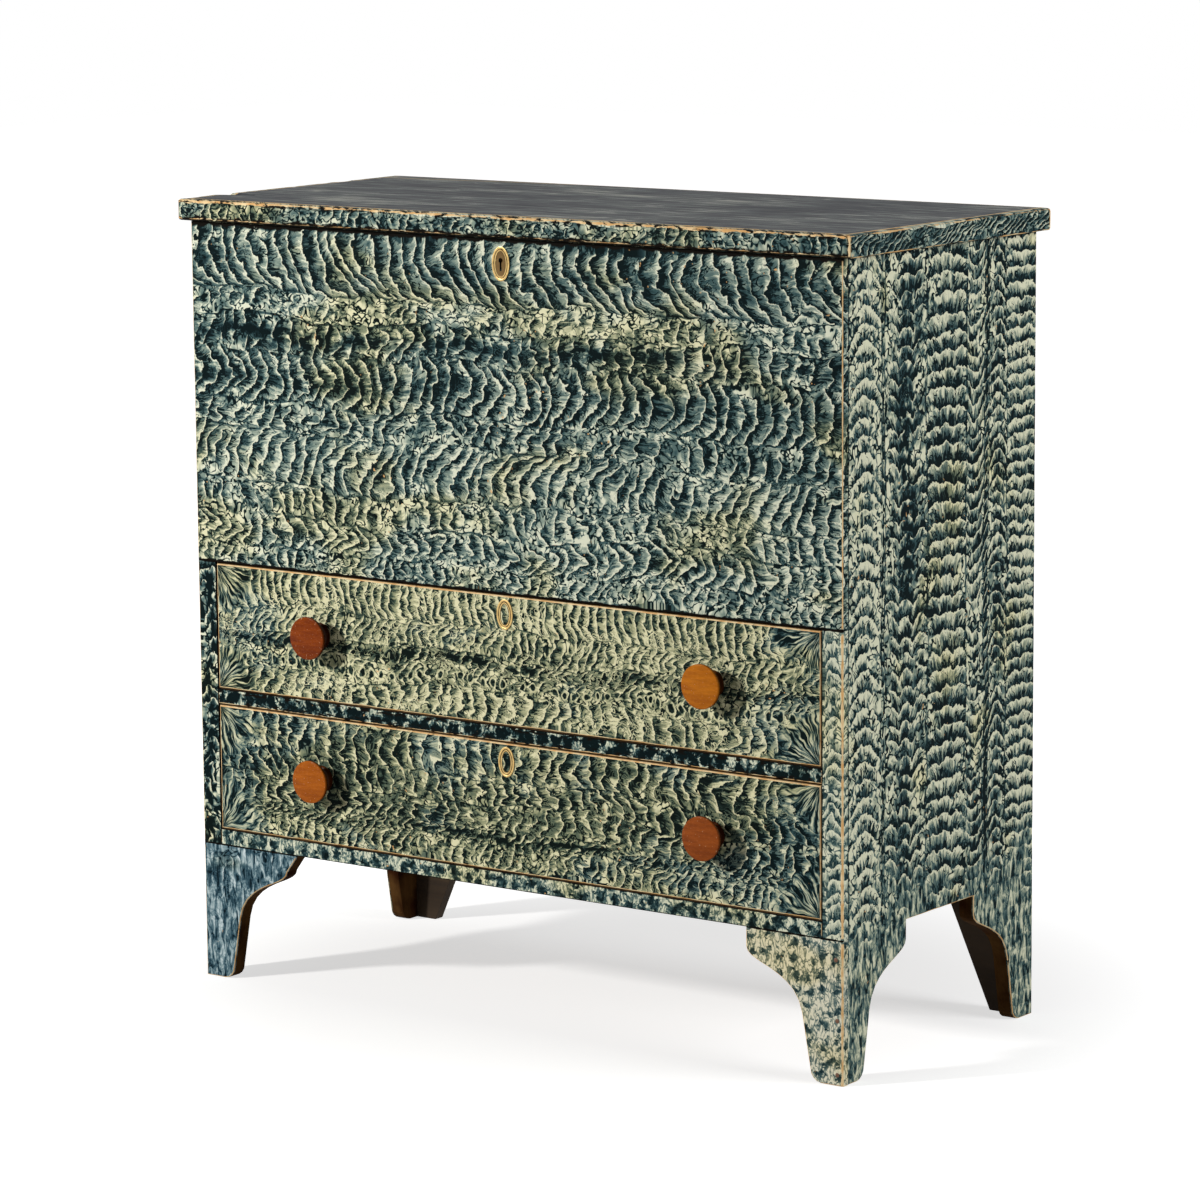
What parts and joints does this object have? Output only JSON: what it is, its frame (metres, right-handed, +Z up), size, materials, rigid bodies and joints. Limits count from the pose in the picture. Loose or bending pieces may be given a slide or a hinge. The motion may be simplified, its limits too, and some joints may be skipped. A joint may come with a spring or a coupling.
{
  "type": "blanket chest",
  "caption": "Tall painted pine chest with a hinged lid over a deep well, drawers below, turned knobs, oval brass keyhole plates and scrolled bracket feet.",
  "frame": {"origin": "on the floor under the middle of the chest's closed outline", "axes": "+X to the chest's right as seen from the front, +Y to the back, +Z up"},
  "size_m": [1, 0.4532, 0.9841],
  "materials": {
    "grain_paint": "grain-painted, worn satin",
    "lid_paint": "dark paint, worn satin",
    "bare_pine": "bare, aged",
    "knob_wood": "turned, varnished",
    "brass": "pressed, aged",
    "iron": "dark, lightly rusted"
  },
  "bodies": {
    "case": {"left_side": "grain_paint", "right_side": "grain_paint", "front_board": "grain_paint", "left_stile": "grain_paint", "right_stile": "grain_paint", "drawer_divider": "grain_paint", "bottom_rail": "grain_paint", "left_front_foot": "grain_paint", "right_front_foot": "grain_paint", "left_rear_bracket": "bare_pine", "right_rear_bracket": "bare_pine", "lower_back_board": "bare_pine", "middle_back_board": "bare_pine", "upper_back_board": "bare_pine", "well_bottom": "bare_pine", "upper_left_runner": "bare_pine", "upper_right_runner": "bare_pine", "lower_left_runner": "bare_pine", "lower_right_runner": "bare_pine", "upper_left_guide": "bare_pine", "upper_right_guide": "bare_pine", "lower_left_guide": "bare_pine", "lower_right_guide": "bare_pine", "upper_left_stop": "bare_pine", "upper_right_stop": "bare_pine", "lower_left_stop": "bare_pine", "lower_right_stop": "bare_pine", "lock_plate": "brass", "lock_case": "iron", "left_hinge_case_leaf": "iron", "right_hinge_case_leaf": "iron", "left_hinge_pin": "iron", "right_hinge_pin": "iron"},
    "lid": {"lid_board": "lid_paint", "lid_front_strip": "grain_paint", "lid_left_strip": "grain_paint", "lid_right_strip": "grain_paint", "left_hinge_lid_leaf": "iron", "right_hinge_lid_leaf": "iron", "lock_strike": "iron"},
    "upper_drawer": {"upper_drawer_front": "grain_paint", "upper_drawer_left_side": "bare_pine", "upper_drawer_right_side": "bare_pine", "upper_drawer_back": "bare_pine", "upper_drawer_bottom": "bare_pine", "upper_drawer_left_knob": "knob_wood", "upper_drawer_right_knob": "knob_wood", "upper_drawer_plate": "brass"},
    "lower_drawer": {"lower_drawer_front": "grain_paint", "lower_drawer_left_side": "bare_pine", "lower_drawer_right_side": "bare_pine", "lower_drawer_back": "bare_pine", "lower_drawer_bottom": "bare_pine", "lower_drawer_left_knob": "knob_wood", "lower_drawer_right_knob": "knob_wood", "lower_drawer_plate": "brass"},
    "bolt": {"lock_bolt": "iron"}
  },
  "joints": [
    {"name": "lid_hinge", "type": "hinge", "parent": "case", "child": "lid", "pos_m": [0, 0.22315, 0.9568], "axis": [-1, 0, 0], "range_deg": [0, 105]},
    {"name": "upper_drawer_slide", "type": "slide", "parent": "case", "child": "upper_drawer", "axis": [0, -1, 0], "range_m": [0, 0.3]},
    {"name": "lower_drawer_slide", "type": "slide", "parent": "case", "child": "lower_drawer", "axis": [0, -1, 0], "range_m": [0, 0.3]},
    {"name": "lock_bolt_slide", "type": "slide", "parent": "case", "child": "bolt", "axis": [1, 0, 0], "range_m": [0, 0.009]}
  ]
}
